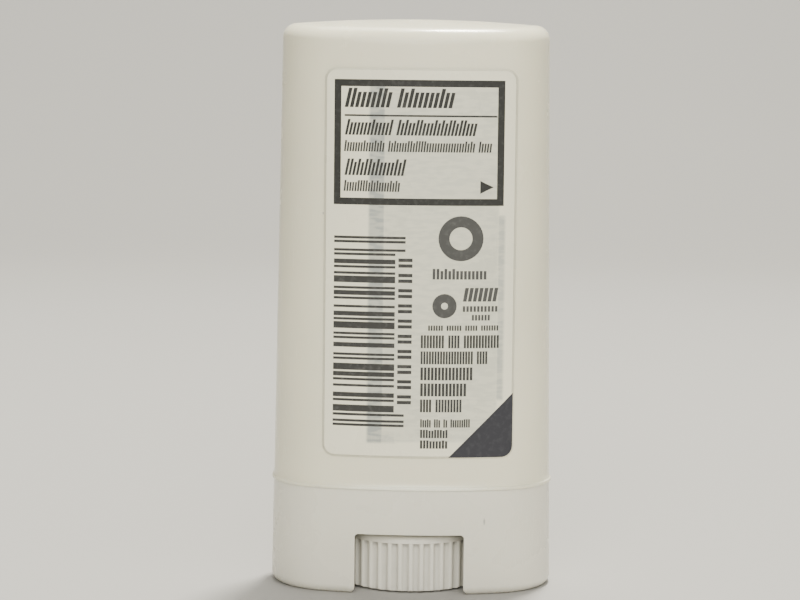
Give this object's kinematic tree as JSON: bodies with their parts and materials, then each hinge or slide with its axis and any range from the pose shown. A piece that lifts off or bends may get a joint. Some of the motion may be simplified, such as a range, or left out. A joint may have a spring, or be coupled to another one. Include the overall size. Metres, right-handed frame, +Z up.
{
  "type": "deodorant stick",
  "caption": "Small oval twist-up deodorant stick with a pull-off cap, a ribbed thumb dial in the base that turns a screw, and a lifting product carrier.",
  "frame": {"origin": "middle of the oval foot, on the surface that the pack stands on", "axes": "+Z up along the screw, +X along the long way of the oval, -Y out of the face that carries the label"},
  "size_m": [0.038, 0.021, 0.076],
  "materials": {
    "base_plastic": "semi-gloss moulded polypropylene, cool white",
    "dial_plastic": "satin moulded polypropylene, white",
    "elevator_plastic": "natural moulded polypropylene",
    "solid_product": "white waxy solid, smooth and faintly sheened",
    "cap_plastic": "semi-gloss moulded polypropylene, warm white",
    "label_base_film": "printed adhesive film",
    "label_peel_film": "printed peel-open film, faintly see-through"
  },
  "bodies": {
    "barrel": {"barrel": "base_plastic"},
    "dial": {"dial_screw": "dial_plastic"},
    "platform": {"elevator": "elevator_plastic", "product": "solid_product"},
    "cap": {"cap": "cap_plastic", "label_base": "label_base_film", "label_peel": "label_peel_film"}
  },
  "joints": [
    {"name": "cap_lift", "type": "slide", "parent": "barrel", "child": "cap", "axis": [0, 0, 1], "range_m": [0, 0.06]},
    {"name": "dial_turn", "type": "hinge", "parent": "barrel", "child": "dial", "pos_m": [0, 0, 0], "axis": [0, 0, 1], "range_deg": [-3600, 720]},
    {"name": "platform_rise", "type": "slide", "parent": "barrel", "child": "platform", "axis": [0, 0, 1], "range_m": [-0.03, 0.006]}
  ],
  "couplings": [
    {"joint": "platform_rise", "follows": "dial_turn", "m_per_rad": 0.00047746}
  ]
}
